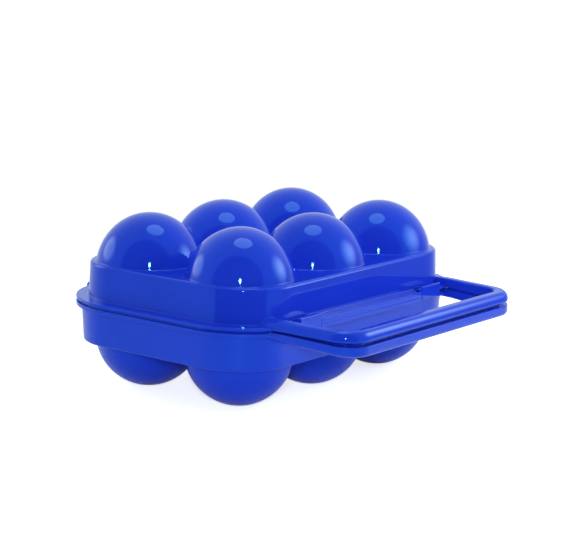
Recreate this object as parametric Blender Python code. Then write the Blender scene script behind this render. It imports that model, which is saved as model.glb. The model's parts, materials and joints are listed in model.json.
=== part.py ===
"""Six-egg carrier: a clamshell of two blue mouldings with a finger handle.

Frame: +X along the row of three eggs, -Y towards the handle, +Z up, in metres.
The world origin is the bottom centre of the closed carrier's bounding box.
The mouldings are drawn about the parting plane, where their rims meet, and in
the functions below side is 1 for the lid above it and -1 for the tray below.
"""
import math

import bmesh
import bpy
from mathutils import Vector

# Egg pockets
EGGS_IN_ROW = 3
EGG_ROWS = 2
EGG_PITCH = 0.0505
WALL = 0.0015
LID_DOME_RADIUS = 0.0235
LID_DOME_RISE = 0.0249
LID_DOME_CENTRE = 0.0128
TRAY_CUP_RADIUS = 0.0234
TRAY_CUP_CENTRE = 0.0150
FOOT_DEPTH = 0.0378
CROWN_FLAT_SHARE = 0.09

# Flanges, one outline for both, that face each other across the parting gap
RIM_MARGIN_X = 0.0075
RIM_MARGIN_Y = 0.00975
FLANGE_CORNER = 0.0330
LID_RIM = 0.0003
LID_FLANGE_THICKNESS = 0.0013
TRAY_RIM = 0.0008
TRAY_FLANGE_THICKNESS = 0.0018

# Lid skirt, from its foot on the flange to the deck under the domes
LID_LEDGE_X = 0.0060
LID_LEDGE_Y = 0.0063
LID_LEDGE_CORNER = 0.0082
LID_DECK = 0.0167
LID_DRAFT = 0.0007
LID_EDGE_ROUND = 0.0011

# Tray skirt, from the flange down to the floor between the cups
TRAY_LEDGE_X = 0.0025
TRAY_LEDGE_Y = 0.0057
TRAY_LEDGE_CORNER = 0.0085
TRAY_FLOOR = 0.0177
TRAY_DRAFT = 0.0009
TRAY_EDGE_ROUND = 0.0009

# Finger handle: one U-shaped bar on each moulding
HANDLE_HALF_WIDTH = 0.0632
HANDLE_LENGTH = 0.0341
HANDLE_ARM_WIDTH = 0.0062
HANDLE_BAR_WIDTH = 0.0062
HANDLE_OUTER_CORNER = 0.0120
HANDLE_INNER_CORNER = 0.0070
HANDLE_GAP = 0.0009
LID_BAR_TOP = 0.0039
TRAY_BAR_BOTTOM = 0.0042
LID_BAR_GAP_SINK = 0.0008
TRAY_BAR_GAP_SINK = 0.0016
TRAY_BAR_BOTTOM_SINK = 0.0024
LID_BAR_ROUND = 0.0028
TRAY_BAR_ROUND = 0.0020
HANDLE_INNER_ROUND = 0.0013
HANDLE_ROOT_OVERLAP = 0.0080

# Latch tongues that rise from the tray into the handle opening
LATCH_ARM_GAP = 0.0051
LATCH_WIDTH = 0.0142
LATCH_INSET = 0.0017
LATCH_TOP = 0.0044
LATCH_TOP_FALL = 0.0012
LATCH_PLATE = 0.0018
LATCH_HEAD_DEPTH = 0.0050
LATCH_TAIL = 0.0022
LATCH_CATCH = 0.0006
LATCH_EDGE = 0.0005
FLEX_HEIGHT = 0.0008
NOTCH_SIDE_GAP = 0.0004
FRONT_LIP = 0.0012

# Back hinge: two lugs on the tray about one eye on the lid, at each end
KNUCKLE_RADIUS = 0.0022
HINGE_OUTER_END = 0.0500
LUG_WIDTH = 0.0042
EYE_WIDTH = 0.0110
WEB_STEP = 0.0002
PIN_RADIUS = 0.0009

# Shared clearances, mesh fineness and the angle, in degrees, past which creases stay crisp
CLEARANCE = 0.0003
CUT_OVERRUN = 0.0020
CORNER_STEPS = 8
DOME_SIDES = 28
DOME_RINGS = 6
HOLLOW_SIDES = 20
HOLLOW_RINGS = 5
ROUND_STEPS = 2
HANDLE_CORNER_STEPS = 6
KNUCKLE_SIDES = 20
PIN_SIDES = 16
SHARP_ANGLE = 35

# Places that follow from the sizes above
FLANGE_HALF_X = (EGGS_IN_ROW - 1) / 2 * EGG_PITCH + LID_DOME_RADIUS + RIM_MARGIN_X
FLANGE_HALF_Y = (EGG_ROWS - 1) / 2 * EGG_PITCH + LID_DOME_RADIUS + RIM_MARGIN_Y
LID_SKIRT_HALF_X = FLANGE_HALF_X - LID_LEDGE_X
LID_SKIRT_HALF_Y = FLANGE_HALF_Y - LID_LEDGE_Y
LID_SKIRT_CORNER = FLANGE_CORNER - LID_LEDGE_CORNER
TRAY_SKIRT_HALF_X = FLANGE_HALF_X - TRAY_LEDGE_X
TRAY_SKIRT_HALF_Y = FLANGE_HALF_Y - TRAY_LEDGE_Y
TRAY_SKIRT_CORNER = FLANGE_CORNER - TRAY_LEDGE_CORNER
HANDLE_REACH = FLANGE_HALF_Y + HANDLE_LENGTH
LID_FLANGE_FACE = LID_RIM + LID_FLANGE_THICKNESS
TRAY_FLANGE_FACE = TRAY_RIM + TRAY_FLANGE_THICKNESS
HINGE_Y = FLANGE_HALF_Y + CLEARANCE + KNUCKLE_RADIUS
HINGE_BACK = HINGE_Y + KNUCKLE_RADIUS
HINGE_ROOT = FLANGE_HALF_Y - LUG_WIDTH
LATCH_SPACING = 2 * (HANDLE_HALF_WIDTH - HANDLE_ARM_WIDTH - LATCH_ARM_GAP) - LATCH_WIDTH
LATCH_BACK = LATCH_INSET - FLANGE_HALF_Y
LATCH_FRONT = LATCH_BACK - LATCH_PLATE
LATCH_HEAD_BACK = LATCH_FRONT + LATCH_HEAD_DEPTH
LATCH_HEAD_UNDERSIDE = LID_FLANGE_FACE + CLEARANCE
NOTCH_EDGE = LATCH_HEAD_BACK - LATCH_CATCH
FLEX_AXIS = Vector((0, (LATCH_BACK + LATCH_FRONT) / 2, FLEX_HEIGHT - LATCH_TAIL))
HINGE_AXIS = Vector((0, HINGE_Y, 0))
BODY_PLACE = Vector((0, (HANDLE_REACH - HINGE_BACK) / 2, FOOT_DEPTH))
ENDS = ((-1, "left"), (1, "right"))

# The plastic's colour in linear light, and its gloss
BLUE = (0.012, 0.040, 0.560, 1)
GLOSS_ROUGHNESS = 0.16


def clear_scene():
    """Remove whatever the scene starts with."""
    for item in list(bpy.data.objects):
        bpy.data.objects.remove(item, do_unlink=True)


def plastic(name):
    """Glossy moulded plastic in the carrier's blue."""
    material = bpy.data.materials.new(name)
    material.use_nodes = True
    shader = material.node_tree.nodes["Principled BSDF"]
    shader.inputs["Base Color"].default_value = BLUE
    shader.inputs["Roughness"].default_value = GLOSS_ROUGHNESS
    shader.inputs["Metallic"].default_value = 0
    material.diffuse_color = BLUE
    return material


def loft(name, rings):
    """Close a stack of rings with as many points each into one solid."""
    bm = bmesh.new()
    rows = [[bm.verts.new(point) for point in ring] for ring in rings]
    count = len(rows[0])
    for lower, upper in zip(rows, rows[1:]):
        for index in range(count):
            after = (index + 1) % count
            bm.faces.new((lower[index], lower[after], upper[after], upper[index]))
    bm.faces.new(rows[0])
    bm.faces.new(rows[-1])
    bmesh.ops.recalc_face_normals(bm, faces=bm.faces)
    mesh = bpy.data.meshes.new(name)
    bm.to_mesh(mesh)
    bm.free()
    item = bpy.data.objects.new(name, mesh)
    bpy.context.scene.collection.objects.link(item)
    return item


def combine(target, tool, operation):
    """Apply one exact Boolean to target and remove the tool."""
    modifier = target.modifiers.new("combine", "BOOLEAN")
    modifier.operation = operation
    modifier.solver = "EXACT"
    modifier.object = tool
    evaluated = target.evaluated_get(bpy.context.evaluated_depsgraph_get())
    mesh = bpy.data.meshes.new_from_object(evaluated)
    target.modifiers.clear()
    target.data = mesh
    bpy.data.objects.remove(tool, do_unlink=True)


def box(low, high):
    """Solid between two opposite corners."""
    corners = ((low[0], low[1]), (high[0], low[1]), (high[0], high[1]), (low[0], high[1]))
    return loft("box", [[Vector((x, y, z)) for x, y in corners] for z in (low[2], high[2])])


def rod(radius, sides, low_x, high_x):
    """Round bar along the hinge axis."""
    rings = []
    for x in (low_x, high_x):
        ring = []
        for step in range(sides):
            angle = 2 * math.pi * step / sides
            ring.append(HINGE_AXIS + Vector((x, radius * math.cos(angle), radius * math.sin(angle))))
        rings.append(ring)
    return loft("rod", rings)


def extrusion(profile, low_x, high_x):
    """Closed profile of (y, z) points, extruded along X."""
    return loft("extrusion", [[Vector((x, y, z)) for y, z in profile] for x in (low_x, high_x)])


def rounded_ring(half_x, half_y, corner, height):
    """Points round a rectangle with arcs at its corners, all at one height."""
    points = []
    for quarter, (sign_x, sign_y) in enumerate(((1, 1), (-1, 1), (-1, -1), (1, -1))):
        for step in range(CORNER_STEPS + 1):
            angle = math.pi / 2 * (quarter + step / CORNER_STEPS)
            x = sign_x * (half_x - corner) + corner * math.cos(angle)
            y = sign_y * (half_y - corner) + corner * math.sin(angle)
            points.append(Vector((x, y, height)))
    return points


def circle_ring(centre, radius, height, sides):
    """Points round one egg's axis, all at one height."""
    points = []
    for step in range(sides):
        angle = 2 * math.pi * step / sides
        x = centre[0] + radius * math.cos(angle)
        y = centre[1] + radius * math.sin(angle)
        points.append(Vector((x, y, height)))
    return points


def skirt(half_x, half_y, corner, start, end, draft, edge_round, side):
    """Drafted box from height start to a rounded edge at height end."""
    rings = [rounded_ring(half_x, half_y, corner, side * start)]
    for step in range(ROUND_STEPS + 1):
        angle = math.pi / 2 * step / ROUND_STEPS
        inset = draft + edge_round * (1 - math.cos(angle))
        height = end - edge_round * (1 - math.sin(angle))
        rings.append(rounded_ring(half_x - inset, half_y - inset, corner - inset, side * height))
    return loft("skirt", rings)


def pocket(centre, shape, inset, steps, side):
    """Plug about one egg's axis, round past its middle and cut flat at its end."""
    radius, rise, middle, end = shape
    radius -= inset
    rise -= inset
    end -= inset
    sides, rows = steps
    last_angle = math.asin(min(1, (end - middle) / rise))
    rings = [circle_ring(centre, radius, side * (middle - WALL), sides)]
    for step in range(rows):
        angle = last_angle * step / rows
        height = middle + rise * math.sin(angle)
        rings.append(circle_ring(centre, radius * math.cos(angle), side * height, sides))
    flat_radius = max(radius * math.cos(last_angle), radius * CROWN_FLAT_SHARE)
    rings.append(circle_ring(centre, flat_radius, side * end, sides))
    return loft("pocket", rings)


def egg_centres():
    """Plan centres of the egg pockets, handle row first."""
    centres = []
    for row in range(EGG_ROWS):
        for column in range(EGGS_IN_ROW):
            x = (column - (EGGS_IN_ROW - 1) / 2) * EGG_PITCH
            y = (row - (EGG_ROWS - 1) / 2) * EGG_PITCH
            centres.append((x, y))
    return centres


def handle_line(half_width, reach, corner):
    """Plan line of one edge of the handle, from the left root round to the right."""
    root = HANDLE_ROOT_OVERLAP - LID_SKIRT_HALF_Y
    line = [Vector((-half_width, root, 0)), Vector((-half_width, -FLANGE_HALF_Y, 0))]
    for step in range(HANDLE_CORNER_STEPS + 1):
        angle = math.pi / 2 * step / HANDLE_CORNER_STEPS
        x = corner - half_width - corner * math.cos(angle)
        y = corner - reach - corner * math.sin(angle)
        line.append(Vector((x, y, 0)))
    return line + [Vector((-point.x, point.y, 0)) for point in reversed(line)]


def handle_bar(far, edge_round, near_sink, far_sink, side):
    """U-shaped bar from the gap to height far; its two faces sink towards the front."""
    outer = handle_line(HANDLE_HALF_WIDTH, HANDLE_REACH, HANDLE_OUTER_CORNER)
    inner = handle_line(
        HANDLE_HALF_WIDTH - HANDLE_ARM_WIDTH, HANDLE_REACH - HANDLE_BAR_WIDTH, HANDLE_INNER_CORNER)
    rings = []
    for outside, inside in zip(outer, inner):
        across = (inside - outside).normalized()
        forward = max(0, -outside.y - FLANGE_HALF_Y) / (HANDLE_REACH - FLANGE_HALF_Y)
        near_height = side * HANDLE_GAP / 2 - near_sink * forward
        far_height = side * far - far_sink * forward
        section = [(outside, near_height)]
        for step in range(ROUND_STEPS + 1):
            angle = math.pi / 2 * step / ROUND_STEPS
            inset = across * edge_round * (1 - math.cos(angle))
            section.append((outside + inset, far_height - side * edge_round * (1 - math.sin(angle))))
        for step in range(ROUND_STEPS + 1):
            angle = math.pi / 2 * step / ROUND_STEPS
            inset = across * HANDLE_INNER_ROUND * (1 - math.sin(angle))
            drop = HANDLE_INNER_ROUND * (1 - math.cos(angle))
            section.append((inside - inset, far_height - side * drop))
        section.append((inside, near_height))
        rings.append([Vector((point.x, point.y, height)) for point, height in section])
    return loft("handle_bar", rings)


def flange(rim, face, side):
    """Flat rim plate between two heights."""
    heights = (side * rim, side * face)
    rings = [rounded_ring(FLANGE_HALF_X, FLANGE_HALF_Y, FLANGE_CORNER, height) for height in heights]
    return loft("flange", rings)


def hinge_spans(end):
    """X ranges of the outer lug, the eye and the inner lug at one end."""
    spans = []
    reach = HINGE_OUTER_END
    for width in (LUG_WIDTH, EYE_WIDTH, LUG_WIDTH):
        spans.append(sorted((end * reach, end * (reach - width))))
        reach -= width + CLEARANCE
    return spans


def pin_span(end):
    """X range of one end's whole hinge, and so of its pin."""
    outer_lug, _, inner_lug = hinge_spans(end)
    return min(outer_lug[0], inner_lug[0]), max(outer_lug[1], inner_lug[1])


def add_knuckles(target, spans, end, heights):
    """Bored knuckles on the hinge axis over the given spans, each with a web to its flange."""
    for low, high in spans:
        web = box((low, HINGE_ROOT, min(heights)), (high, HINGE_Y, max(heights)))
        combine(target, web, "UNION")
        combine(target, rod(KNUCKLE_RADIUS, KNUCKLE_SIDES, low, high), "UNION")
    left, right = pin_span(end)
    bore = rod(PIN_RADIUS + CLEARANCE, PIN_SIDES, left - CUT_OVERRUN, right + CUT_OVERRUN)
    combine(target, bore, "DIFFERENCE")


def latch_notch(target, back, heights):
    """Cut a notch for each latch through a flange, open to the front."""
    for end, _ in ENDS:
        middle = end * LATCH_SPACING / 2
        half = LATCH_WIDTH / 2 + NOTCH_SIDE_GAP
        front = -FLANGE_HALF_Y - CUT_OVERRUN
        low = (middle - half, front, min(heights))
        high = (middle + half, back, max(heights))
        combine(target, box(low, high), "DIFFERENCE")


def hollow_half(sizes, side):
    """One moulding: skirt, flange and handle bar about six pockets, one wall thick."""
    rim, face = sizes["flange"]
    body = flange(rim, face, side)
    start = (rim + face) / 2
    outside = skirt(*sizes["skirt"], start, sizes["deck"], sizes["draft"], sizes["round"], side)
    combine(body, outside, "UNION")
    combine(body, handle_bar(*sizes["bar"], side), "UNION")
    for centre in egg_centres():
        dome = pocket(centre, sizes["pocket"], 0, (DOME_SIDES, DOME_RINGS), side)
        combine(body, dome, "UNION")
    inner_skirt = [size - WALL for size in sizes["skirt"]]
    cavity = skirt(
        *inner_skirt, -CUT_OVERRUN, sizes["deck"] - WALL, sizes["draft"], sizes["round"], side)
    combine(body, cavity, "DIFFERENCE")
    for centre in egg_centres():
        hollow = pocket(centre, sizes["pocket"], WALL, (HOLLOW_SIDES, HOLLOW_RINGS), side)
        combine(body, hollow, "DIFFERENCE")
    return body


def make_lid():
    """Upper moulding, with hinge eyes, latch notches and a front lip between them."""
    lid = hollow_half({
        "flange": (LID_RIM, LID_FLANGE_FACE),
        "skirt": (LID_SKIRT_HALF_X, LID_SKIRT_HALF_Y, LID_SKIRT_CORNER),
        "deck": LID_DECK,
        "draft": LID_DRAFT,
        "round": LID_EDGE_ROUND,
        "bar": (LID_BAR_TOP, LID_BAR_ROUND, LID_BAR_GAP_SINK, 0),
        "pocket": (LID_DOME_RADIUS, LID_DOME_RISE, LID_DOME_CENTRE, LID_DOME_CENTRE + LID_DOME_RISE),
    }, 1)
    for end, _ in ENDS:
        _, eye, _ = hinge_spans(end)
        add_knuckles(lid, [eye], end, (LID_RIM + WEB_STEP, LID_FLANGE_FACE - WEB_STEP))
    low = (-LATCH_SPACING / 2, -FLANGE_HALF_Y, CLEARANCE - TRAY_RIM)
    high = (LATCH_SPACING / 2, FRONT_LIP - FLANGE_HALF_Y, LID_FLANGE_FACE - WEB_STEP)
    combine(lid, box(low, high), "UNION")
    latch_notch(lid, NOTCH_EDGE, (-TRAY_RIM, LID_FLANGE_FACE + CUT_OVERRUN))
    return lid


def make_tray():
    """Lower moulding, with hinge lugs, latch roots and six flat feet."""
    tray = hollow_half({
        "flange": (TRAY_RIM, TRAY_FLANGE_FACE),
        "skirt": (TRAY_SKIRT_HALF_X, TRAY_SKIRT_HALF_Y, TRAY_SKIRT_CORNER),
        "deck": TRAY_FLOOR,
        "draft": TRAY_DRAFT,
        "round": TRAY_EDGE_ROUND,
        "bar": (TRAY_BAR_BOTTOM, TRAY_BAR_ROUND, TRAY_BAR_GAP_SINK, TRAY_BAR_BOTTOM_SINK),
        "pocket": (TRAY_CUP_RADIUS, TRAY_CUP_RADIUS, TRAY_CUP_CENTRE, FOOT_DEPTH),
    }, -1)
    for end, _ in ENDS:
        outer_lug, _, inner_lug = hinge_spans(end)
        add_knuckles(tray, [outer_lug, inner_lug], end, (-TRAY_RIM - WEB_STEP, WEB_STEP - TRAY_FLANGE_FACE))
    latch_notch(tray, LATCH_BACK + CLEARANCE, (-TRAY_FLANGE_FACE - CUT_OVERRUN, 0))
    for end, _ in ENDS:
        middle = end * LATCH_SPACING / 2
        low = (middle - LATCH_WIDTH / 2, LATCH_BACK + CLEARANCE, -LATCH_TAIL)
        high = (middle + LATCH_WIDTH / 2, WALL / 2 - TRAY_SKIRT_HALF_Y, -TRAY_RIM - WEB_STEP)
        combine(tray, box(low, high), "UNION")
    return tray


def make_latch(end):
    """Tongue with a hooked head, its top sloped to lead the lid's flange in."""
    profile = [
        (LATCH_BACK, -LATCH_TAIL),
        (LATCH_FRONT, -LATCH_TAIL),
        (LATCH_FRONT, LATCH_TOP - LATCH_EDGE),
        (LATCH_FRONT + LATCH_EDGE, LATCH_TOP),
        (LATCH_HEAD_BACK - LATCH_EDGE, LATCH_TOP - LATCH_TOP_FALL),
        (LATCH_HEAD_BACK, LATCH_TOP - LATCH_TOP_FALL - LATCH_EDGE),
        (LATCH_HEAD_BACK, LATCH_HEAD_UNDERSIDE),
        (LATCH_BACK, LATCH_HEAD_UNDERSIDE),
    ]
    middle = end * LATCH_SPACING / 2
    return extrusion(profile, middle - LATCH_WIDTH / 2, middle + LATCH_WIDTH / 2)


def make_pin(end):
    """Plain pin through the lugs and the eye at one end."""
    return rod(PIN_RADIUS, PIN_SIDES, *pin_span(end))


def finish(item, name, pivot, root):
    """Name a piece, give it its plastic and put its origin on its pivot."""
    item.name = name
    item.data.name = name
    for vertex in item.data.vertices:
        vertex.co -= pivot
    item.location = pivot
    item.parent = root
    item.data.materials.clear()
    item.data.materials.append(plastic(name + "_plastic"))
    item.data.shade_smooth()
    item.data.set_sharp_from_angle(angle=math.radians(SHARP_ANGLE))


def main():
    """Build the closed carrier."""
    clear_scene()
    root = bpy.data.objects.new("carrier_body", None)
    bpy.context.scene.collection.objects.link(root)
    root.location = BODY_PLACE
    finish(make_tray(), "tray", Vector(), root)
    finish(make_lid(), "lid", HINGE_AXIS, root)
    for end, word in ENDS:
        side_step = Vector((end * LATCH_SPACING / 2, 0, 0))
        finish(make_latch(end), "latch_" + word, FLEX_AXIS + side_step, root)
        finish(make_pin(end), "hinge_pin_" + word, HINGE_AXIS, root)


main()
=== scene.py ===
"""Looks of the six-egg carrier: one finer piece in place of each solid.

Lengths are metres, and all is drawn about the middle of the parting plane. Side is 1 for the lid
above it and -1 for the tray below, and the heights of walls, flanges and bars count away from it
on that side. The heights of the latches, their cuts, the front lip and the bead count upwards.
"""

import json
import math

import bmesh
import bpy
from mathutils import Matrix, Vector


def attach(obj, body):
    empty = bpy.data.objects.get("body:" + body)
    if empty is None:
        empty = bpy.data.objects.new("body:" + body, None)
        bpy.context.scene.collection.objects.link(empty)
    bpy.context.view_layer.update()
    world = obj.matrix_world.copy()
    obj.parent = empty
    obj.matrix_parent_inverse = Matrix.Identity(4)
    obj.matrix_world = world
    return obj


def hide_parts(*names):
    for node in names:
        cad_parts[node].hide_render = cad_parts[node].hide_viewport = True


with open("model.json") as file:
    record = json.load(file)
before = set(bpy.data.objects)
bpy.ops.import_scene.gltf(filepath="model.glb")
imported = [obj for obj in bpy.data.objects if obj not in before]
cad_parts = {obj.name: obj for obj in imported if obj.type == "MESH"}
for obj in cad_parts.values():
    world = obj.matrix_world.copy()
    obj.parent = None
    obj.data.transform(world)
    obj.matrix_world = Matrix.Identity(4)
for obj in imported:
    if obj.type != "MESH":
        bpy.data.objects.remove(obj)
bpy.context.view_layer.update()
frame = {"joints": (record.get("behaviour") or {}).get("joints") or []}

# Egg pockets: a dome is its radius, its rise, and the heights of its widest ring and its end
PITCH = 0.0505
WALL = 0.0015
LID_DOME = (0.0235, 0.0249, 0.0128, 0.0377)
TRAY_CUP = (0.0234, 0.0234, 0.0150, 0.0378)
POCKET_FILLET = 0.0005
HOLLOW_FILLET = 0.0003
FILLET_SLACK = 0.00005
FOOT_ROUND = 0.0005

# Skirts and flange in plan: half length, half width, corner radius
LID_SKIRT = (0.0755, 0.0522, 0.0248)
TRAY_SKIRT = (0.0790, 0.0528, 0.0245)
FLANGE = (0.0815, 0.0585, 0.0330)

# Heights of each flange's near and far face and of each deck, and each skirt's draft and rounding
LID_FLANGE = (0.0003, 0.0016)
TRAY_FLANGE = (0.0008, 0.0026)
LID_DECK = 0.0167
TRAY_FLOOR = 0.0177
LID_DRAFT = 0.0007
TRAY_DRAFT = 0.0009
LID_EDGE_ROUND = 0.0014
TRAY_EDGE_ROUND = 0.0009

# Roundings of a flange: where it meets the skirt, at its far edge and at its near edge
FLANGE_FILLET = 0.0005
FLANGE_FAR_ROUND = 0.00035
FLANGE_NEAR_ROUND = 0.00018

# Handle in plan
HANDLE_HALF_WIDTH = 0.0632
HANDLE_REACH = 0.0926
ARM_SPLAY = 0.0022
BAR_WIDTH = 0.0062
OUTER_CORNER = 0.0120
INNER_CORNER = 0.0070
ROOT_FLARE = 0.0035
ROOT_DEPTHS = (-0.0007, 0.0, 0.00012, 0.0003, 0.0006, 0.0010)
ROOT_STEP = 0.0002
OFF_WALL = 1.0
ARM_ROWS = (-0.0600, -0.0640, -0.0700, -0.0760)
BAR_COLUMNS = (-0.038, -0.025, -0.0125)

# Handle in section: its roundings, its softened edge as (along, height), and the strip that is a
# tongue on the tray's bar and a groove for it in the lid's
BAR_GAP = 0.00045
BAR_INNER_ROUND = 0.0013
BAR_NEAR_ROUND = 0.0003
BAR_WALL_ROUND = 0.0006
BAR_LEAST_SIDE = 0.0005
BAR_EDGE = ((0.0003, 0), (0.00015, 0.00004), (0.00004, 0.00015), (0, 0.0003))
STRIP_START = 0.0006
STRIP_RAMP = 0.0008
STRIP_SINK = 0.0008
STRIP_DRAFT = 0.0001

# Latches
LATCH_X = 0.0448
LATCH_HALF_WIDTH = 0.0071
LATCH_BACK = -0.0568
LATCH_FRONT = -0.0586
LATCH_HEAD_BACK = -0.0536
LATCH_HEAD_UNDERSIDE = 0.0019
LATCH_TOP = 0.0041
LATCH_TOP_FALL = 0.0012
LATCH_TAIL = 0.0018
LATCH_TOP_ROUND = 0.0007
LATCH_EDGE_ROUND = 0.00018
CLEARANCE = 0.0003

# Cuts in the mouldings for the latches, and what is added for them
CUT_FRONT = -0.0610
CUT_SIDE_GAP = 0.0004
NOTCH_EDGE = -0.0542
NOTCH_HEIGHTS = (-0.0008, 0.0030)
SLOT_HEIGHTS = (-0.0046, 0.0005)
RELIEF_SIDE_GAP = 0.0008
RELIEF_EDGES = (-0.0563, -0.0522)
RELIEF_HEIGHTS = (-0.00079, 0.0005)
ROOT_EDGE = -0.0521
LIP_WIDTH = 0.0012
LIP_HEIGHTS = (-0.0007, 0.0010)

# Hinge
HINGE_Y = 0.0610
KNUCKLE_RADIUS = 0.0022
KNUCKLE_EDGE = 0.0002
PIN_RADIUS = 0.0009
PIN_EDGE = 0.0003
PIN_ENDS = (0.0500, 0.0300)
BORE_ENDS = (0.052, 0.024)
HINGE_OUTER_END = 0.0500
LUG_WIDTH = 0.0042
EYE_WIDTH = 0.0110
WEB_EDGE = 0.0543
WEB_STEP = 0.0002

# Locating bead on the tray's flange: inset from the rim, height above the parting plane
BEAD = (
    (0.0016, -0.0010), (0.0017, -0.0001), (0.0019, 0.0001),
    (0.0029, 0.0001), (0.0031, -0.0001), (0.0032, -0.0010))

# Where the middle of the parting plane lies in the part, found from the lid's hinge
hinge = next(joint for joint in frame["joints"] if joint["name"] == "lid_hinge")
PLACE = Vector((0, hinge["pos_m"][1] - HINGE_Y, hinge["pos_m"][2]))

# Mesh fineness
LEG_STEPS = 30
DOME_STEPS = 36
FILLET_STEPS = 5
SEARCH_STEPS = 30
FLARE_STEPS = 12
CORNER_STEPS = 16
CROWN_STEPS = 10
ROUND_STEPS = 6
NEAR_STEPS = 3
BEAD_STEPS = 32
CREASE_ANGLE = 32
MERGE = 2e-6


def outline(shape, place, inset=0.0):
    """Point and outward normal at a place, 0 to 8, round a rectangle with round corners."""
    half_x, half_y, corner = shape
    flat_x, flat_y = half_x - corner, half_y - corner
    part = int(place) % 8
    share = place - int(place)
    ends = (
        (-flat_x, -flat_y), (flat_x, -flat_y), (flat_x, flat_y), (-flat_x, flat_y),
        (-flat_x, -flat_y))
    start = math.radians(-90 + 90 * (part // 2))
    if part % 2:
        angle = start + math.radians(90 * share)
        centre = ends[part // 2 + 1]
    else:
        angle = start
        low, high = ends[part // 2], ends[part // 2 + 1]
        centre = (low[0] + (high[0] - low[0]) * share, low[1] + (high[1] - low[1]) * share)
    normal = Vector((math.cos(angle), math.sin(angle)))
    return Vector(centre) + normal * (corner - inset), normal


class Skin:
    """One face of a moulding, outer or inner: deck, pockets and the edge where its wall starts."""

    def __init__(self, shape, inset, deck, edge_round, dome, fillet, side, foot_round):
        self.shape = (shape[0] - inset, shape[1] - inset, shape[2] - inset)
        self.deck = deck
        self.edge_round = edge_round
        self.radius, self.rise, self.middle, self.end = dome
        self.fillet = fillet
        self.side = side
        self.foot_round = foot_round
        lean = math.asin((deck - self.middle) / self.rise)
        self.base = self.radius * math.cos(lean)

    def reach(self, place, centre):
        """How far the rounded edge may run in from the wall without cutting a pocket's fillet."""
        point, normal = outline(self.shape, place)
        clear = self.base + self.fillet + FILLET_SLACK
        low, high = 0.0, self.edge_round
        if (point - normal * high - centre).length >= clear:
            return high
        for _ in range(SEARCH_STEPS):
            middle = (low + high) / 2
            if (point - normal * middle - centre).length >= clear:
                low = middle
            else:
                high = middle
        return low

    def edge(self, place, centre):
        """Where the flat deck ends, seen from one pocket."""
        point, normal = outline(self.shape, place)
        return point - normal * self.reach(place, centre)


def cells(shape):
    """Pocket centres round the outline, the places each one faces and its cell's inner corners."""
    flat = shape[0] - shape[2]
    near = (flat - PITCH / 2) / (2 * flat)
    far = 1 - near
    half = PITCH / 2
    return (
        (Vector((0, -half)), near, far, ((half, 0), (-half, 0))),
        (Vector((PITCH, -half)), far, 2.5, ((half, 0),)),
        (Vector((PITCH, half)), 2.5, 4 + near, ((half, 0),)),
        (Vector((0, half)), 4 + near, 4 + far, ((-half, 0), (half, 0))),
        (Vector((-PITCH, half)), 4 + far, 6.5, ((-half, 0),)),
        (Vector((-PITCH, -half)), 6.5, 8 + near, ((-half, 0),)),
    )


def turn(centre, point):
    """Angle of a point seen from a pocket's centre."""
    return math.atan2(point.y - centre.y, point.x - centre.x)


def spread_places(skin, centre, first, last):
    """Places along the outline that look evenly spaced from the pocket's centre."""
    start = turn(centre, skin.edge(first, centre))
    sweep = (turn(centre, skin.edge(last, centre)) - start) % (2 * math.pi)
    count = LEG_STEPS * max(1, round(sweep / (math.pi / 2)))
    places = [first]
    for step in range(1, count):
        goal = sweep * step / count
        low, high = places[-1], last
        for _ in range(SEARCH_STEPS):
            middle = (low + high) / 2
            if (turn(centre, skin.edge(middle, centre)) - start) % (2 * math.pi) < goal:
                low = middle
            else:
                high = middle
        places.append((low + high) / 2)
    return places + [last]


def leg(centre, start, end):
    """Points on a straight border between two pockets, evenly spaced as seen from the centre."""
    first = turn(centre, start)
    sweep = (turn(centre, end) - first + math.pi) % (2 * math.pi) - math.pi
    along = end - start
    points = []
    for step in range(1, LEG_STEPS):
        angle = first + sweep * step / LEG_STEPS
        ray = Vector((math.cos(angle), math.sin(angle)))
        away = start - centre
        reach = (away.x * along.y - away.y * along.x) / (ray.x * along.y - ray.y * along.x)
        points.append(centre + ray * reach)
    return points


def add_rings(bm, rings):
    """Quads between neighbouring rings of points."""
    rows = [[bm.verts.new(point) for point in ring] for ring in rings]
    count = len(rows[0])
    for lower, upper in zip(rows, rows[1:]):
        for index in range(count):
            after = (index + 1) % count
            bm.faces.new((lower[index], lower[after], upper[after], upper[index]))
    return rows


def cap(bm, row, point):
    """Triangles from the last ring to one point."""
    tip = bm.verts.new(point)
    for index, vertex in enumerate(row):
        bm.faces.new((vertex, row[(index + 1) % len(row)], tip))


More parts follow.
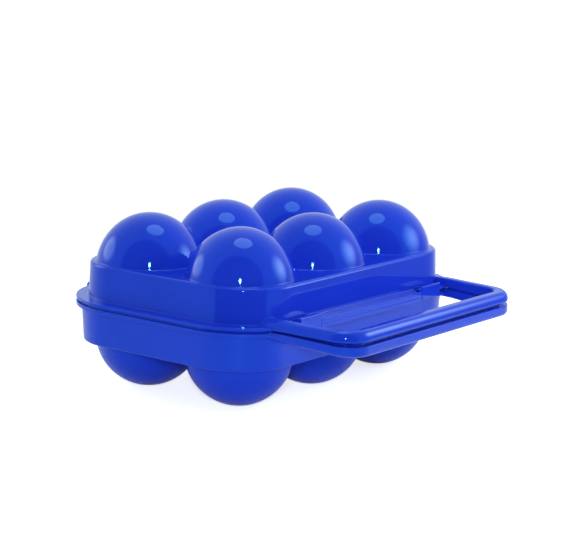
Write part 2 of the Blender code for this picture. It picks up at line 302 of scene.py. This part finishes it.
def pocket_rings(skin, centre, border):
    """Rings from the cell's border in over the deck, up the fillet and over the pocket."""
    side = skin.side
    rays = []
    for point in border:
        angle = turn(centre, point)
        rays.append(Vector((math.cos(angle), math.sin(angle))))

    def ring(radius, height):
        lift = Vector((0, 0, side * height))
        return [(centre + ray * radius).to_3d() + lift for ray in rays]

    def arch(first, last, steps):
        for step in range(steps):
            angle = first + (last - first) * step / DOME_STEPS
            rings.append(ring(
                skin.radius * math.cos(angle), skin.middle + skin.rise * math.sin(angle)))

    def bend_over(start, corner, finish, steps):
        for step in steps:
            share = step / FILLET_STEPS
            rest = 1 - share
            point = start * rest ** 2 + corner * (2 * share * rest) + finish * share ** 2
            rings.append(ring(point.x, point.y))

    outer = skin.base + skin.fillet
    rings = [[point.to_3d() + Vector((0, 0, side * skin.deck)) for point in border]]
    for share in (0.4, 0.75):
        rings.append([
            (point.lerp(centre + ray * outer, share)).to_3d() + Vector((0, 0, side * skin.deck))
            for point, ray in zip(border, rays)])
    lean = math.asin((skin.deck + skin.fillet - skin.middle) / skin.rise)
    bend_over(
        Vector((outer, skin.deck)), Vector((skin.base, skin.deck)),
        Vector((skin.radius * math.cos(lean), skin.deck + skin.fillet)), range(FILLET_STEPS))
    turn_in = skin.foot_round
    if turn_in:
        last = math.asin((skin.end - turn_in - skin.middle) / skin.rise)
        arch(lean, last, DOME_STEPS + 1)
        rim = Vector((skin.radius * math.cos(last), skin.end - turn_in))
        slope = Vector((-skin.radius * math.sin(last), skin.rise * math.cos(last))).normalized()
        corner = rim + slope * (turn_in / slope.y)
        flat = Vector((corner.x - (corner - rim).length, skin.end))
        bend_over(rim, corner, flat, range(1, FILLET_STEPS + 1))
        rings.append(ring(flat.x / 2, skin.end))
    else:
        arch(lean, math.pi / 2, DOME_STEPS)
    return rings, centre.to_3d() + Vector((0, 0, side * skin.end))


def lay_pockets(bm, skin, groups):
    """The deck and the six pockets of one skin."""
    for centre, places, corners in groups:
        border = [skin.edge(place, centre) for place in places]
        stops = [border[-1]] + [Vector(corner) for corner in corners] + [border[0]]
        for start, end in zip(stops, stops[1:]):
            border += leg(centre, start, end)
            border.append(end)
        border.pop()
        rings, tip = pocket_rings(skin, centre, border)
        rows = add_rings(bm, rings)
        cap(bm, rows[-1], tip)


def wall_profile(outer, inner, draft, rim, face):
    """Rings down the outer wall, round the flange and up the inner wall.

    Each one is its kind, the skin that it follows, an amount and a height. The amount is a share
    of the deck's rounded edge, an inset in metres, or on the flange's face the way from the wall
    to the rim.
    """
    specs = []

    def arc(steps, make):
        for step in range(steps + 1):
            angle = math.pi / 2 * step / steps
            specs.append(make(math.cos(angle), math.sin(angle)))

    top = outer.deck - outer.edge_round
    fillet, upper, lower = FLANGE_FILLET, FLANGE_FAR_ROUND, FLANGE_NEAR_ROUND
    lean = draft / (top - (rim + face) / 2)
    arc(5, lambda c, s: (
        "deck", "outer", 1 - s, outer.deck - outer.edge_round * (1 - c)))
    for share in (0.35, 0.7):
        height = top + (face + fillet - top) * share
        specs.append(("wall", "outer", -lean * (top - height), height))
    base = -lean * (top - face)
    arc(5, lambda c, s: (
        "wall", "outer", base - fillet * (1 - c), face + fillet * (1 - s)))
    specs.append(("face", "outer", 0.5, face))
    arc(4, lambda c, s: ("flange", "outer", upper * (1 - s), face - upper * (1 - c)))
    arc(3, lambda c, s: ("flange", "outer", lower * (1 - c), rim + lower * (1 - s)))
    arc(3, lambda c, s: (
        "wall", "inner", -draft - lower * (1 - s), rim + lower * (1 - c)))
    inner_top = inner.deck - inner.edge_round
    for share in (0.35, 0.7):
        height = rim + (inner_top - rim) * share
        specs.append(("wall", "inner", -draft * (1 - share), height))
    arc(5, lambda c, s: ("deck", "inner", 1 - c, inner_top + inner.edge_round * s))
    return specs


def moulding(name, skirt, draft, deck, edge_round, dome, rim_face, side, foot_round):
    """One closed thin-walled half, with rounded edges and filleted pockets."""
    outer = Skin(skirt, draft, deck, edge_round, dome, POCKET_FILLET, side, foot_round)
    radius, rise, middle, end = dome
    hollow = (radius - WALL, rise - WALL, middle, end - WALL)
    inner = Skin(
        skirt, draft + WALL, deck - WALL, edge_round, hollow, HOLLOW_FILLET, side, foot_round / 2)
    groups = []
    for centre, first, last, corners in cells(outer.shape):
        groups.append((centre, spread_places(outer, centre, first, last), corners))
    bm = bmesh.new()
    lay_pockets(bm, outer, groups)
    lay_pockets(bm, inner, groups)
    stations = [(place, centre) for centre, places, _ in groups for place in places[:-1]]
    rings = []
    for kind, which, amount, height in wall_profile(outer, inner, draft, *rim_face):
        ring = []
        for place, centre in stations:
            skin = inner if which == "inner" else outer
            if kind == "deck":
                point, normal = outline(skin.shape, place)
                point -= normal * (skin.reach(place, centre) * amount)
            elif kind == "flange":
                point, _ = outline(FLANGE, place, amount)
            elif kind == "face":
                wall, _ = outline(skin.shape, place)
                rim_point, _ = outline(FLANGE, place)
                point = wall.lerp(rim_point, amount)
            else:
                point, normal = outline(skin.shape, place)
                point -= normal * amount
            ring.append(Vector((point.x, point.y, side * height)))
        rings.append(ring)
    add_rings(bm, rings)
    bmesh.ops.remove_doubles(bm, verts=bm.verts, dist=MERGE)
    bmesh.ops.recalc_face_normals(bm, faces=bm.faces)
    return link(name, bm)


def link(name, bm):
    """Turn a bmesh into a linked object."""
    mesh = bpy.data.meshes.new(name)
    bm.to_mesh(mesh)
    bm.free()
    item = bpy.data.objects.new(name, mesh)
    bpy.context.scene.collection.objects.link(item)
    return item


def loft(name, rings):
    """Closed solid from a stack of rings."""
    bm = bmesh.new()
    rows = add_rings(bm, rings)
    bm.faces.new(rows[0])
    bm.faces.new(rows[-1])
    bmesh.ops.recalc_face_normals(bm, faces=bm.faces)
    return link(name, bm)


def combine(target, tool, operation):
    """Apply one exact Boolean to target and remove the tool."""
    modifier = target.modifiers.new("combine", "BOOLEAN")
    modifier.operation = operation
    modifier.solver = "EXACT"
    modifier.object = tool
    evaluated = target.evaluated_get(bpy.context.evaluated_depsgraph_get())
    mesh = bpy.data.meshes.new_from_object(evaluated)
    target.modifiers.clear()
    target.data = mesh
    bpy.data.objects.remove(tool, do_unlink=True)


def join(items):
    """One object from several that don't touch."""
    bm = bmesh.new()
    for item in items:
        bm.from_mesh(item.data)
        bpy.data.objects.remove(item, do_unlink=True)
    return link("tools", bm)


def box(low, high):
    """Solid between two opposite corners."""
    corners = ((low[0], low[1]), (high[0], low[1]), (high[0], high[1]), (low[0], high[1]))
    return loft("box", [[Vector((x, y, z)) for x, y in corners] for z in (low[2], high[2])])


def rod(radius, low_x, high_x, edge=0.0, sides=40):
    """Round bar on the hinge axis, with rounded ends."""
    stations = [(low_x, radius - edge), (high_x, radius - edge)]
    if edge:
        stations = []
        for step in range(5):
            angle = math.pi / 8 * step
            stations.append((
                low_x + edge * (1 - math.sin(angle)), radius - edge * (1 - math.cos(angle))))
        stations.reverse()
        stations += [(low_x + high_x - x, r) for x, r in reversed(stations)]
    rings = []
    for x, reach in stations:
        ring = []
        for step in range(sides):
            angle = 2 * math.pi * step / sides
            ring.append(Vector((x, HINGE_Y + reach * math.cos(angle), reach * math.sin(angle))))
        rings.append(ring)
    return loft("rod", rings)


def skirt_face(skirt, x):
    """Y of the skirt's front face at one x."""
    half_x, half_y, corner = skirt
    over = abs(x) - (half_x - corner)
    if over <= 0:
        return -half_y
    return corner - half_y - math.sqrt(corner ** 2 - over ** 2)


def handle_stations(skirt):
    """Sections along the bar, from the left root round the front to the right root.

    Each one is its outer and inner point in plan, the share and the width of the flare there,
    and how far it stands off the skirt's wall.
    """
    half = HANDLE_HALF_WIDTH
    inner_half = half - BAR_WIDTH
    root = half + ARM_SPLAY
    outer_wall = skirt_face(skirt, root)
    inner_wall = skirt_face(skirt, root - BAR_WIDTH)
    flange_x, flange_y, flange_corner = FLANGE
    flare = ROOT_FLARE
    across = root + flare - (flange_x - flange_corner)
    drop = math.sqrt((flange_corner + flare) ** 2 - across ** 2)
    centre_y = flange_corner - flange_y - drop
    ratio = flange_corner / (flange_corner + flare)
    touch_x = flange_x - flange_corner + across * ratio
    touch_y = flange_corner - flange_y - drop * ratio
    flare_width = touch_x - root

    roots = []
    for depth in ROOT_DEPTHS:
        roots.append((outer_wall - depth, inner_wall - depth, flare_width, depth))
    outer_start = outer_wall - ROOT_DEPTHS[-1]
    inner_start = inner_wall - ROOT_DEPTHS[-1]
    roots.append(((outer_start + touch_y) / 2, inner_start - ROOT_STEP, flare_width, OFF_WALL))
    for step in range(1, FLARE_STEPS + 1):
        share = step / FLARE_STEPS
        outer_y = touch_y + (centre_y - touch_y) * share
        inner_y = inner_start + (centre_y - inner_start) * share
        away = math.sqrt(max(0, flare ** 2 - (outer_y - centre_y) ** 2))
        roots.append((outer_y, inner_y, max(0.0, flare - away), OFF_WALL))
    rows = []
    for outer_y, inner_y, width, depth in roots:
        outside, inside = Vector((-root, outer_y)), Vector((BAR_WIDTH - root, inner_y))
        rows.append((outside, inside, width / flare_width, width, depth))

    bend = OUTER_CORNER - HANDLE_REACH
    inner_bend = INNER_CORNER - (HANDLE_REACH - BAR_WIDTH)
    points = []
    for y in ARM_ROWS:
        x = half + ARM_SPLAY * (y - bend) / (centre_y - bend)
        points.append(((-x, y), (BAR_WIDTH - x, y)))
    for step in range(CORNER_STEPS + 1):
        angle = math.pi / 2 * step / CORNER_STEPS
        c, s = math.cos(angle), math.sin(angle)
        points.append((
            (OUTER_CORNER - half - OUTER_CORNER * c, bend - OUTER_CORNER * s),
            (INNER_CORNER - inner_half - INNER_CORNER * c, inner_bend - INNER_CORNER * s)))
    for x in (*BAR_COLUMNS, 0):
        points.append(((x, -HANDLE_REACH), (x, BAR_WIDTH - HANDLE_REACH)))
    for outside, inside in points:
        rows.append((Vector(outside), Vector(inside), 0.0, 0.0, OFF_WALL))
    mirrored = [
        (Vector((-outside.x, outside.y)), Vector((-inside.x, inside.y)), *flaring)
        for outside, inside, *flaring in reversed(rows[:-1])]
    return rows + mirrored


def handle_bar(skirt, face, side, far, crown, near_sink, far_sink, strip):
    """U-shaped bar with rounded edges that flares into the flange at its roots.

    far is the height of its face away from the gap, crown the width and height of that face's
    rounded outer edge, and near_sink and far_sink say how much lower its faces are at the front
    than at the roots. strip is the tongue or groove along its near face: from, to, and the height
    of its crest or floor.
    """
    rings = []
    crown_width, crown_height = crown
    for outside, inside, share, flare, depth in handle_stations(skirt):
        width = (inside - outside).length
        across = (inside - outside) / width
        forward = max(0.0, -outside.y - FLANGE[1]) / (HANDLE_REACH - FLANGE[1])
        near = BAR_GAP + side * -near_sink * forward
        top = far + side * -far_sink * forward
        if depth < BAR_WALL_ROUND:
            gap = BAR_WALL_ROUND - max(0.0, depth)
            top += BAR_WALL_ROUND - math.sqrt(BAR_WALL_ROUND ** 2 - gap ** 2)
        drop = min(crown_height, top - near - BAR_LEAST_SIDE)
        plain = [(along, near + height) for along, height in BAR_EDGE]
        flared = [(along - flare, near + height) for along, height in BAR_EDGE]
        for step in range(CROWN_STEPS + 1):
            angle = math.pi / 2 * step / CROWN_STEPS
            c, s = math.cos(angle), math.sin(angle)
            plain.append((crown_width * (1 - c), top - drop * (1 - s)))
            portion = step / CROWN_STEPS
            rise = portion * portion * (3 - 2 * portion)
            flared.append((-flare + (crown_width + flare) * portion, face + (top - face) * rise))
        section = []
        for (px, pz), (fx, fz) in zip(plain, flared):
            section.append((px + (fx - px) * share, pz + (fz - pz) * share))
        for step in range(ROUND_STEPS + 1):
            angle = math.pi / 2 * step / ROUND_STEPS
            section.append((
                width - BAR_INNER_ROUND * (1 - math.sin(angle)),
                top - BAR_INNER_ROUND * (1 - math.cos(angle))))
        for step in range(NEAR_STEPS + 1):
            angle = math.pi / 2 * step / NEAR_STEPS
            section.append((
                width - BAR_NEAR_ROUND * (1 - math.cos(angle)),
                near + BAR_NEAR_ROUND * (1 - math.sin(angle))))
        low, high, crest = strip
        grown = min(1.0, max(0.0, (-outside.y - FLANGE[1] - STRIP_START) / STRIP_RAMP))
        crest = near + (crest - side * STRIP_SINK * forward - near) * grown
        section += [
            (high, near), (high - STRIP_DRAFT, crest), (low + STRIP_DRAFT, crest), (low, near)]
        ring = []
        for along, height in section:
            point = outside + across * along
            ring.append(Vector((point.x, point.y, side * height)))
        rings.append(ring)
    return loft("bar", rings)


def hinge_spans(end):
    """X ranges of the outer lug, the eye and the inner lug at one end."""
    spans = []
    reach = HINGE_OUTER_END
    for width in (LUG_WIDTH, EYE_WIDTH, LUG_WIDTH):
        spans.append(sorted((end * reach, end * (reach - width))))
        reach -= width + CLEARANCE
    return spans


def knuckle(low, high, heights):
    """One rounded knuckle and the web that carries it."""
    web = box((low, WEB_EDGE, min(heights)), (high, HINGE_Y, max(heights)))
    body = rod(KNUCKLE_RADIUS, low, high, KNUCKLE_EDGE)
    combine(body, web, "UNION")
    return body


def bore(end):
    """Solid that clears the way for one hinge pin."""
    return rod(PIN_RADIUS + CLEARANCE, *sorted(end * reach for reach in BORE_ENDS))


def latch_box(end, side_gap, edges, heights):
    """Solid as wide as one latch and its side gaps, between two edges and two heights."""
    half = LATCH_HALF_WIDTH + side_gap
    return box(
        (end * LATCH_X - half, edges[0], heights[0]), (end * LATCH_X + half, edges[1], heights[1]))


def shade(item):
    """Smooth shading with crisp creases, weighted by face size."""
    item.data.shade_smooth()
    item.data.set_sharp_from_angle(angle=math.radians(CREASE_ANGLE))
    weight = item.modifiers.new("normals", "WEIGHTED_NORMAL")
    weight.keep_sharp = True
    weight.weight = 60


def rim_bead():
    """Low locating bead that runs round the top of the tray's flange."""
    rings = []
    for inset, height in BEAD:
        ring = []
        for step in range(8 * BEAD_STEPS):
            point, _ = outline(FLANGE, step / BEAD_STEPS, inset)
            ring.append(Vector((point.x, point.y, height)))
        rings.append(ring)
    bm = bmesh.new()
    add_rings(bm, rings + [rings[0]])
    bmesh.ops.remove_doubles(bm, verts=bm.verts, dist=MERGE)
    bmesh.ops.recalc_face_normals(bm, faces=bm.faces)
    return link("bead", bm)


def make_lid():
    """Upper moulding with its bar, hinge eyes, front lip and latch notches."""
    lid = moulding(
        "lid_shell", LID_SKIRT, LID_DRAFT, LID_DECK, LID_EDGE_ROUND, LID_DOME, LID_FLANGE, 1, 0.0)
    tools = [handle_bar(
        LID_SKIRT, LID_FLANGE[1], 1, far=0.0044, crown=(0.0028, 0.0036), near_sink=0.0008,
        far_sink=0.0003, strip=(0.0033, 0.0051, 0.00135))]
    for end in (-1, 1):
        _, eye, _ = hinge_spans(end)
        tools.append(knuckle(*eye, (LID_FLANGE[0] + WEB_STEP, LID_FLANGE[1] - WEB_STEP)))
    combine(lid, join(tools), "UNION")
    lip = box(
        (-LATCH_X, -FLANGE[1], LIP_HEIGHTS[0]), (LATCH_X, LIP_WIDTH - FLANGE[1], LIP_HEIGHTS[1]))
    combine(lid, lip, "UNION")
    cuts = []
    for end in (-1, 1):
        cuts.append(bore(end))
        cuts.append(latch_box(end, CUT_SIDE_GAP, (CUT_FRONT, NOTCH_EDGE), NOTCH_HEIGHTS))
    combine(lid, join(cuts), "DIFFERENCE")
    return lid


def make_tray():
    """Lower moulding with its bar, hinge lugs, bead, latch slots and roots, and six flat feet."""
    tray = moulding(
        "tray_shell", TRAY_SKIRT, TRAY_DRAFT, TRAY_FLOOR, TRAY_EDGE_ROUND, TRAY_CUP, TRAY_FLANGE,
        -1, FOOT_ROUND)
    tools = [handle_bar(
        TRAY_SKIRT, TRAY_FLANGE[1], -1, far=0.0042, crown=(0.0020, 0.0020), near_sink=0.0016,
        far_sink=0.0024, strip=(0.0036, 0.0048, -0.00105))]
    for end in (-1, 1):
        for span in hinge_spans(end)[::2]:
            tools.append(knuckle(*span, (-TRAY_FLANGE[0] - WEB_STEP, WEB_STEP - TRAY_FLANGE[1])))
    combine(tray, join(tools), "UNION")
    combine(tray, rim_bead(), "UNION")
    slot_back = LATCH_BACK + CLEARANCE
    cuts = []
    for end in (-1, 1):
        cuts.append(bore(end))
        cuts.append(latch_box(end, CUT_SIDE_GAP, (CUT_FRONT, slot_back), SLOT_HEIGHTS))
        cuts.append(latch_box(end, RELIEF_SIDE_GAP, RELIEF_EDGES, RELIEF_HEIGHTS))
    combine(tray, join(cuts), "DIFFERENCE")
    root_heights = (-LATCH_TAIL, -TRAY_FLANGE[0] - WEB_STEP)
    roots = [latch_box(end, 0, (slot_back, ROOT_EDGE), root_heights) for end in (-1, 1)]
    combine(tray, join(roots), "UNION")
    return tray


def make_latch(name, end):
    """Tongue with a hooked head and softened edges."""
    profile = [
        (LATCH_BACK, -LATCH_TAIL),
        (LATCH_FRONT, -LATCH_TAIL),
        (LATCH_FRONT, LATCH_TOP),
        (LATCH_HEAD_BACK, LATCH_TOP - LATCH_TOP_FALL),
        (LATCH_HEAD_BACK, LATCH_HEAD_UNDERSIDE),
        (LATCH_BACK, LATCH_HEAD_UNDERSIDE),
    ]
    middle = end * LATCH_X
    sides = (middle - LATCH_HALF_WIDTH, middle + LATCH_HALF_WIDTH)
    item = loft(name, [[Vector((x, y, z)) for y, z in profile] for x in sides])
    bm = bmesh.new()
    bm.from_mesh(item.data)
    top = []
    for edge in bm.edges:
        start, finish = (vertex.co for vertex in edge.verts)
        runs_across = abs(start.x - finish.x) > LATCH_HALF_WIDTH
        if runs_across and start.z > LATCH_TOP - LATCH_TOP_FALL - MERGE:
            top.append(edge)
    bmesh.ops.bevel(
        bm, geom=top, offset=LATCH_TOP_ROUND, segments=6, profile=0.5, affect="EDGES")
    sharp = [edge for edge in bm.edges if edge.calc_face_angle(0) > math.radians(50)]
    bmesh.ops.bevel(
        bm, geom=sharp, offset=LATCH_EDGE_ROUND, segments=3, profile=0.5, affect="EDGES")
    bm.to_mesh(item.data)
    bm.free()
    return item


def plastic(name, seed):
    """Glossy blue moulded plastic with faint flow and an almost smooth skin.

    seed moves its pattern, so that no two pieces share one.
    """
    material = bpy.data.materials.new(name)
    material.use_nodes = True
    tree = material.node_tree
    nodes, links = tree.nodes, tree.links
    shader = nodes["Principled BSDF"]
    shader.inputs["IOR"].default_value = 1.5
    shader.inputs["Specular IOR Level"].default_value = 0.55
    shader.inputs["Specular Tint"].default_value = (0.14, 0.55, 1.0, 1)
    place = nodes.new("ShaderNodeTexCoord")
    shift = nodes.new("ShaderNodeMapping")
    shift.inputs["Location"].default_value = (seed, seed * 0.7, seed * 0.3)
    links.new(place.outputs["Object"], shift.inputs["Vector"])

    def noise(scale, detail):
        node = nodes.new("ShaderNodeTexNoise")
        node.inputs["Scale"].default_value = scale
        node.inputs["Detail"].default_value = detail
        links.new(shift.outputs["Vector"], node.inputs["Vector"])
        return node

    flow = noise(38, 3)
    ramp = nodes.new("ShaderNodeValToRGB")
    ramp.color_ramp.elements[0].position = 0.3
    ramp.color_ramp.elements[0].color = (0.0113, 0.0395, 0.590, 1)
    ramp.color_ramp.elements[1].position = 0.7
    ramp.color_ramp.elements[1].color = (0.0133, 0.0450, 0.635, 1)
    links.new(flow.outputs["Fac"], ramp.inputs["Fac"])
    links.new(ramp.outputs["Color"], shader.inputs["Base Color"])
    haze = noise(150, 4)
    polish = nodes.new("ShaderNodeMapRange")
    polish.inputs["From Min"].default_value = 0.3
    polish.inputs["From Max"].default_value = 0.7
    polish.inputs["To Min"].default_value = 0.02
    polish.inputs["To Max"].default_value = 0.04
    links.new(haze.outputs["Fac"], polish.inputs["Value"])
    links.new(polish.outputs["Result"], shader.inputs["Roughness"])
    skin = noise(900, 2)
    bump = nodes.new("ShaderNodeBump")
    bump.inputs["Strength"].default_value = 0.02
    bump.inputs["Distance"].default_value = 0.0002
    links.new(skin.outputs["Fac"], bump.inputs["Height"])
    links.new(bump.outputs["Normal"], shader.inputs["Normal"])
    return material


def settle(item, name, body, node, seed):
    """Name a piece, put it in place, give it its plastic and let it ride."""
    item.name = name
    item.data.name = name
    item.data.transform(Matrix.Translation(PLACE))
    item.data.materials.clear()
    item.data.materials.append(plastic(name + "_plastic", seed))
    shade(item)
    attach(item, body)
    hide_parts(node)


settle(make_lid(), "lid_moulding", "lid", "lid", 1.3)
settle(make_tray(), "tray_moulding", "tray", "tray", 4.1)
for word, end in (("left", -1), ("right", 1)):
    latch = make_latch("latch", end)
    settle(latch, "latch_tongue_" + word, "latch_" + word, "latch_" + word, 7.7 + end)
    pin = rod(PIN_RADIUS, *sorted(end * reach for reach in PIN_ENDS), PIN_EDGE, 24)
    settle(pin, "pin_" + word, "tray", "hinge_pin_" + word, 9.2 + end)

# Camera at the photograph's place
AZIMUTH = math.radians(-52.74)
ELEVATION = math.radians(11.04)
ROLL = math.radians(1.44)
DISTANCE = 0.8667
AIM_ACROSS = 0.00903
AIM_HEIGHT = 0.01039
LENS = 121.41

# Axes of the view; back points from the carrier to the camera
right = Vector((math.cos(AZIMUTH), math.sin(AZIMUTH), 0))
back = Vector((
    math.sin(AZIMUTH) * math.cos(ELEVATION),
    -math.cos(AZIMUTH) * math.cos(ELEVATION),
    math.sin(ELEVATION)))
up = back.cross(right)
target = PLACE + right * AIM_ACROSS + Vector((0, 0, AIM_HEIGHT))
camera_data = bpy.data.cameras.new("camera")
camera_data.lens = LENS
camera_data.sensor_width = 36
camera_data.clip_start = 0.01
camera = bpy.data.objects.new("camera", camera_data)
bpy.context.scene.collection.objects.link(camera)
axes = Matrix((
    right * math.cos(ROLL) + up * math.sin(ROLL),
    up * math.cos(ROLL) - right * math.sin(ROLL),
    back))
camera.matrix_world = Matrix.Translation(target + back * DISTANCE) @ axes.transposed().to_4x4()
bpy.context.scene.camera = camera


def lamp(name, place, width, height, level, core=0.5):
    """Oval area lamp that faces the carrier, even within its core and fading towards its rim."""
    data = bpy.data.lights.new(name, "AREA")
    data.shape = "ELLIPSE"
    data.size = width
    data.size_y = height
    data.energy = level * math.pi * width * height * math.pi / 4
    if core < 0.5:
        data.use_nodes = True
        nodes, links = data.node_tree.nodes, data.node_tree.links
        spot = nodes.new("ShaderNodeNewGeometry")
        offset = nodes.new("ShaderNodeVectorMath")
        offset.operation = "DISTANCE"
        offset.inputs[1].default_value = (0.5, 0.5, 0)
        fade = nodes.new("ShaderNodeMapRange")
        fade.interpolation_type = "SMOOTHSTEP"
        fade.inputs["From Min"].default_value = 0.5
        fade.inputs["From Max"].default_value = core
        links.new(spot.outputs["Parametric"], offset.inputs[0])
        links.new(offset.outputs["Value"], fade.inputs["Value"])
        links.new(fade.outputs["Result"], nodes["Emission"].inputs["Strength"])
    item = bpy.data.objects.new(name, data)
    bpy.context.scene.collection.objects.link(item)
    item.location = PLACE + place
    item.rotation_mode = "QUATERNION"
    item.rotation_quaternion = (place - Vector((0, 0, 0.02))).to_track_quat("Z", "Y")


level_back = Vector((back.x, back.y, 0)).normalized()
lamp("lamp_top", Vector((0, -0.013, 0.423)), 0.21, 0.21, 2.9)
lamp("lamp_right", Vector((0.185, -0.24, 0.130)), 0.30, 0.28, 5.6, 0.0)
lamp("lamp_left", Vector((-0.15, 0.32, 0.115)), 0.30, 0.20, 2.1, 0.25)
lamp("lamp_front", level_back * 0.88 + Vector((0, 0, 0.267)), 0.075, 0.18, 220, 0.12)


def number(tree, operation, first, second):
    """Result of one sum on two values, each a number or a node's output."""
    node = tree.nodes.new("ShaderNodeMath")
    node.operation = operation
    for socket, value in zip(node.inputs, (first, second)):
        if isinstance(value, (int, float)):
            socket.default_value = value
        else:
            tree.links.new(value, socket)
    return node.outputs[0]


# Tent round the carrier: its colour and level, and three soft-edged cones in it, each with its
# full and its outer angle in degrees and the level that it takes away or adds
TENT_COLOUR = (0.88, 1.02, 1.14, 1)
TENT_LEVEL = 0.69
DARK_FRONT = (53, 56, 0.66)
BACKDROP = (40, 90, 0.15)
DARK_BELOW = (20, 42, 0.34)


def make_world():
    """White to the camera and through glass; to the plastic, a pale tent with a dark front."""
    world = bpy.data.worlds.new("tent")
    bpy.context.scene.world = world
    world.use_nodes = True
    tree = world.node_tree
    nodes, links = tree.nodes, tree.links
    nodes.clear()
    out = nodes.new("ShaderNodeOutputWorld")
    mix = nodes.new("ShaderNodeMixShader")
    rays = nodes.new("ShaderNodeLightPath")
    white = nodes.new("ShaderNodeBackground")
    white.inputs["Color"].default_value = (1, 1, 1, 1)
    tent = nodes.new("ShaderNodeBackground")
    tent.inputs["Color"].default_value = TENT_COLOUR
    place = nodes.new("ShaderNodeTexCoord")

    def towards(turned, rise, cone):
        """Level of a cone, its axis turned from the camera's side in degrees, and raised."""
        full, outer, level = cone
        axis = Matrix.Rotation(math.radians(turned), 3, "Z") @ level_back + Vector((0, 0, rise))
        node = nodes.new("ShaderNodeVectorMath")
        node.operation = "DOT_PRODUCT"
        links.new(place.outputs["Generated"], node.inputs[0])
        node.inputs[1].default_value = axis.normalized()
        step = nodes.new("ShaderNodeMapRange")
        step.interpolation_type = "SMOOTHSTEP"
        step.inputs["From Min"].default_value = math.cos(math.radians(outer))
        step.inputs["From Max"].default_value = math.cos(math.radians(full))
        step.inputs["To Max"].default_value = level
        links.new(node.outputs["Value"], step.inputs["Value"])
        return step.outputs["Result"]

    mirrored = rays.outputs["Is Glossy Ray"]
    level = number(tree, "SUBTRACT", TENT_LEVEL, towards(-5, 0.21, DARK_FRONT))
    level = number(
        tree, "ADD", level, number(tree, "MULTIPLY", mirrored, towards(180, 0, BACKDROP)))
    level = number(
        tree, "SUBTRACT", level, number(tree, "MULTIPLY", mirrored, towards(112, -0.3, DARK_BELOW)))
    links.new(level, tent.inputs["Strength"])
    seen = number(
        tree, "MAXIMUM", rays.outputs["Is Camera Ray"], rays.outputs["Is Transmission Ray"])
    links.new(seen, mix.inputs["Fac"])
    links.new(tent.outputs["Background"], mix.inputs[1])
    links.new(white.outputs["Background"], mix.inputs[2])
    links.new(mix.outputs["Shader"], out.inputs["Surface"])


make_world()

FLOOR_RADIUS = 0.28
FLOOR_THICKNESS = 0.004
FLOOR_LIFT = 0.75
MIRRORED_SHARE = 0.1


def make_floor():
    """Round pale table top; white to the camera, with the carrier's soft shadow kept."""
    ring = []
    for step in range(96):
        angle = 2 * math.pi * step / 96
        ring.append(Vector((FLOOR_RADIUS * math.cos(angle), FLOOR_RADIUS * math.sin(angle), 0)))
    floor = loft("floor", [[point - Vector((0, 0, FLOOR_THICKNESS)) for point in ring], ring])
    material = bpy.data.materials.new("floor_white")
    material.use_nodes = True
    tree = material.node_tree
    shader = tree.nodes["Principled BSDF"]
    shader.inputs["Base Color"].default_value = (0.86, 0.91, 0.96, 1)
    shader.inputs["Roughness"].default_value = 0.6
    shader.inputs["Emission Color"].default_value = (1, 1, 1, 1)
    rays = tree.nodes.new("ShaderNodeLightPath").outputs
    seen = number(tree, "MAXIMUM", rays["Is Camera Ray"], rays["Is Transmission Ray"])
    mirrored = number(tree, "MULTIPLY", rays["Is Glossy Ray"], MIRRORED_SHARE)
    lift = number(tree, "MULTIPLY", number(tree, "MAXIMUM", seen, mirrored), FLOOR_LIFT)
    tree.links.new(lift, shader.inputs["Emission Strength"])
    floor.data.materials.append(material)
    return floor


make_floor()
bpy.context.scene.view_settings.view_transform = "Standard"
